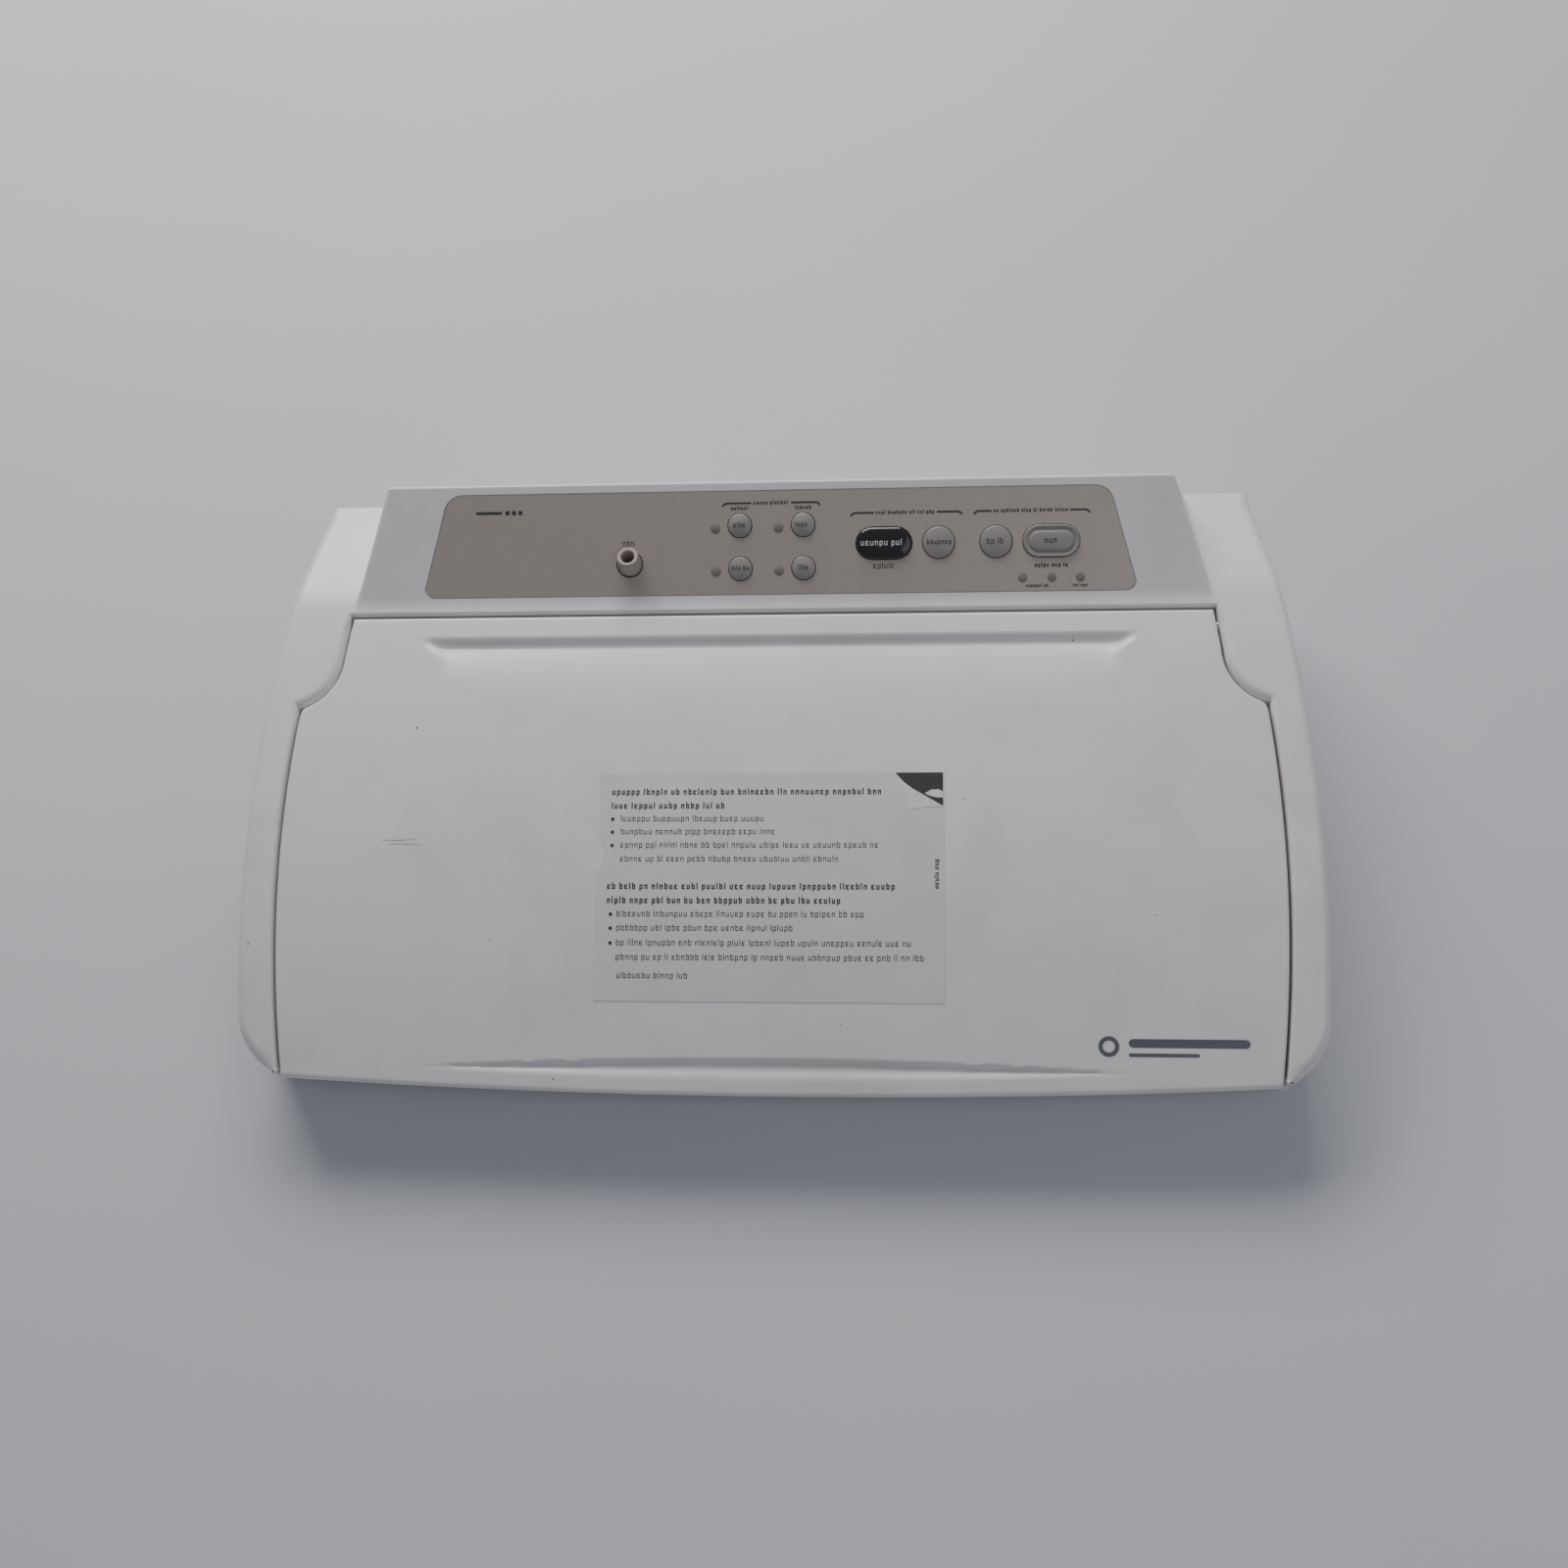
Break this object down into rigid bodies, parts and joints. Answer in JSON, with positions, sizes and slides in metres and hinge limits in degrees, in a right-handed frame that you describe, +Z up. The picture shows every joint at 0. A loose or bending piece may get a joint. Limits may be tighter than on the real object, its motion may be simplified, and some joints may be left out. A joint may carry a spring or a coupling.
{
  "type": "vacuum sealer",
  "caption": "Countertop vacuum sealer with a wide curved lid hinged in front of a sloping push-button panel, over a sealing strip, drip tray and roll trough",
  "frame": {"origin": "on the table, under the centre of the casing", "axes": "+X to the right along the lid's hinge, +Y from the lid's front edge to the rear, +Z up"},
  "size_m": [0.432, 0.2514, 0.1037],
  "materials": {
    "shell_white": "warm white ABS, satin",
    "liner_white": "warm white ABS, fine texture",
    "plate_silver": "silver paint, satin",
    "button_grey": "silver grey, satin",
    "button_black": "black, gloss",
    "lens_grey": "unlit translucent grey",
    "port_beige": "beige grey, matte",
    "rubber_dark": "black rubber",
    "foam_grey": "closed-cell foam",
    "pad_red": "silicone rubber",
    "steel": "zinc plated",
    "aluminium": "mill finish",
    "motor_steel": "dull grey",
    "core_steel": "varnished lamination",
    "copper": "taped copper winding",
    "tape": "woven PTFE tape",
    "phenolic": "phenolic board",
    "board_green": "solder mask",
    "part_black": "black moulding",
    "part_natural": "natural nylon",
    "hose_clear": "milky silicone tube",
    "cutter_blue": "blue moulding",
    "label_film": "printed film"
  },
  "bodies": {
    "casing": {"base_tub": "shell_white", "top_cover": "shell_white", "feet": "rubber_dark", "base_screws": "steel", "control_plate": "plate_silver", "setting_lenses": "lens_grey", "progress_lenses": "lens_grey", "control_board": "board_green", "tact_switches": "part_black", "board_leds": "lens_grey", "board_screws": "steel", "accessory_port": "port_beige", "port_hose": "hose_clear", "inner_deck": "liner_white", "deck_screws": "steel", "drip_tray": "liner_white", "lower_gasket": "foam_grey", "heater_bar": "phenolic", "heat_strip": "steel", "tape_cover": "tape", "cutter_rail": "liner_white", "pump_motor": "motor_steel", "pump_body": "part_black", "pump_head": "part_black", "pump_cradle": "motor_steel", "pump_mounts": "rubber_dark", "solenoid_valve": "motor_steel", "vacuum_hose": "hose_clear", "transformer_core": "core_steel", "transformer_coil": "copper", "cord_gland": "rubber_dark", "latch_bezel": "shell_white", "latch_switch": "part_black", "shaft_bearings": "part_natural", "hinge_pins": "steel"},
    "lid": {"lid_shell": "shell_white", "lid_liner": "liner_white", "lid_screws": "steel", "upper_gasket": "foam_grey", "pad_holder": "aluminium", "seal_pad": "pad_red", "lid_catches": "steel", "instruction_label": "label_film"},
    "latch": {"latch_shaft": "steel", "latch_hooks": "steel", "latch_lever": "liner_white", "switch_cam": "part_natural"},
    "cutter": {"cutter_slider": "cutter_blue", "cutter_blade": "steel"},
    "pump_rotor": {"motor_shaft": "steel", "eccentric": "steel"},
    "pump_piston": {"pump_yoke": "part_natural"},
    "fast_button": {"fast_button": "button_grey"},
    "moist_button": {"moist_button": "button_grey"},
    "normal_button": {"normal_button": "button_grey"},
    "dry_button": {"dry_button": "button_grey"},
    "vacuum_seal_button": {"vacuum_seal_button": "button_black"},
    "canister_button": {"canister_button": "button_grey"},
    "pulse_button": {"pulse_button": "button_grey"},
    "seal_button": {"seal_button": "button_grey"}
  },
  "joints": [
    {"name": "lid_hinge", "type": "hinge", "parent": "casing", "child": "lid", "pos_m": [0, 0.059, 0.074], "axis": [-1, 0, 0], "range_deg": [0, 105]},
    {"name": "latch_turn", "type": "hinge", "parent": "casing", "child": "latch", "pos_m": [0, -0.026, 0.015], "axis": [1, 0, 0], "range_deg": [0, 50]},
    {"name": "cutter_slide", "type": "slide", "parent": "casing", "child": "cutter", "axis": [1, 0, 0], "range_m": [-0.28, 0]},
    {"name": "pump_spin", "type": "hinge", "parent": "casing", "child": "pump_rotor", "pos_m": [-0.088, 0.096, 0.03], "axis": [1, 0, 0], "continuous": true},
    {"name": "pump_stroke", "type": "slide", "parent": "casing", "child": "pump_piston", "axis": [0, 0, 1], "range_m": [-0.0025, 0.0025], "stiffness_N_per_m": 400},
    {"name": "fast_button_press", "type": "slide", "parent": "casing", "child": "fast_button", "axis": [0, 0.4818, -0.8763], "range_m": [0, 0.0012], "stiffness_N_per_m": 600},
    {"name": "moist_button_press", "type": "slide", "parent": "casing", "child": "moist_button", "axis": [0, 0.4818, -0.8763], "range_m": [0, 0.0012], "stiffness_N_per_m": 600},
    {"name": "normal_button_press", "type": "slide", "parent": "casing", "child": "normal_button", "axis": [0, 0.4818, -0.8763], "range_m": [0, 0.0012], "stiffness_N_per_m": 600},
    {"name": "dry_button_press", "type": "slide", "parent": "casing", "child": "dry_button", "axis": [0, 0.4818, -0.8763], "range_m": [0, 0.0012], "stiffness_N_per_m": 600},
    {"name": "vacuum_seal_button_press", "type": "slide", "parent": "casing", "child": "vacuum_seal_button", "axis": [0, 0.4818, -0.8763], "range_m": [0, 0.0012], "stiffness_N_per_m": 600},
    {"name": "canister_button_press", "type": "slide", "parent": "casing", "child": "canister_button", "axis": [0, 0.4818, -0.8763], "range_m": [0, 0.0012], "stiffness_N_per_m": 600},
    {"name": "pulse_button_press", "type": "slide", "parent": "casing", "child": "pulse_button", "axis": [0, 0.4818, -0.8763], "range_m": [0, 0.0012], "stiffness_N_per_m": 600},
    {"name": "seal_button_press", "type": "slide", "parent": "casing", "child": "seal_button", "axis": [0, 0.4818, -0.8763], "range_m": [0, 0.0012], "stiffness_N_per_m": 600}
  ]
}
